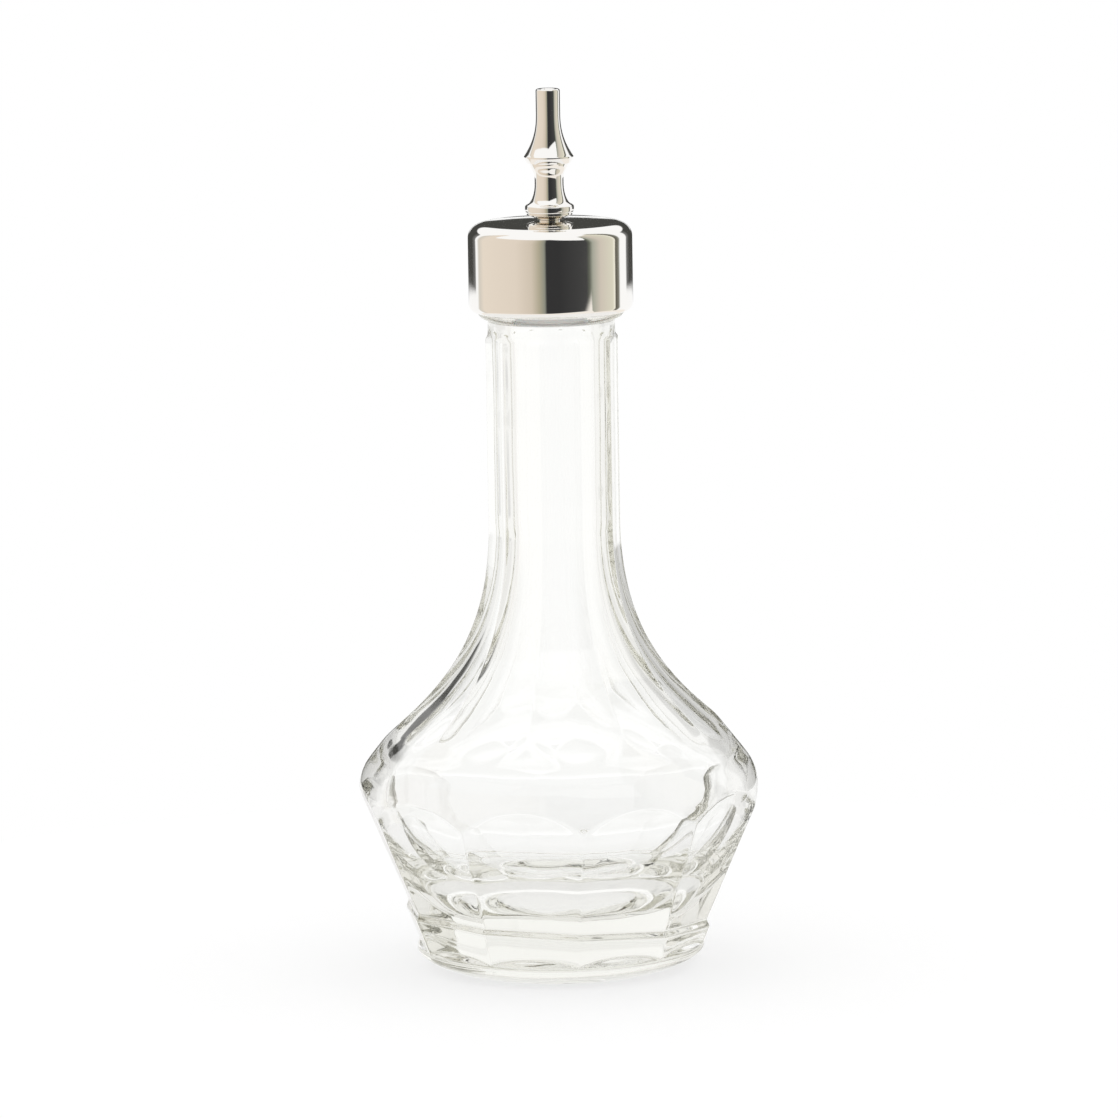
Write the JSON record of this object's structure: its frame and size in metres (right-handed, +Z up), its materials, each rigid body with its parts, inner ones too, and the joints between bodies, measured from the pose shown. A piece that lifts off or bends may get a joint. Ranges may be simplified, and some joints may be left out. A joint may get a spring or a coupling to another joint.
{
  "type": "bitters bottle",
  "caption": "Small faceted clear glass bottle with a long neck and a polished metal dasher top that lifts out of its mouth to refill it and sprinkles drops through a turned spout.",
  "frame": {"origin": "centre of the bottle's foot, on the surface that it stands on", "axes": "+Z up along the bottle's axis towards the spout's tip; one edge of the foot's and lower body's panels points along -Y, and the panels above are turned half a facet"},
  "size_m": [0.0624, 0.0626, 0.1381],
  "materials": {
    "clear_glass": "clear, fire polished",
    "polished_metal": "polished plate",
    "washer_fibre": "plain",
    "nut_brass": "machined",
    "core_plastic": "moulded",
    "seal_rubber": "soft, matt"
  },
  "bodies": {
    "bottle": {"glass_bottle": "clear_glass"},
    "dasher_top": {"cap_shell": "polished_metal", "dasher_spout": "polished_metal", "spout_washer": "washer_fibre", "spout_nut": "nut_brass", "stopper_core": "core_plastic", "lip_gasket": "seal_rubber", "upper_seal_ring": "seal_rubber", "lower_seal_ring": "seal_rubber"}
  },
  "joints": [
    {"name": "top_lift", "type": "slide", "parent": "bottle", "child": "dasher_top", "axis": [0, 0, 1], "range_m": [0, 0.03]}
  ]
}
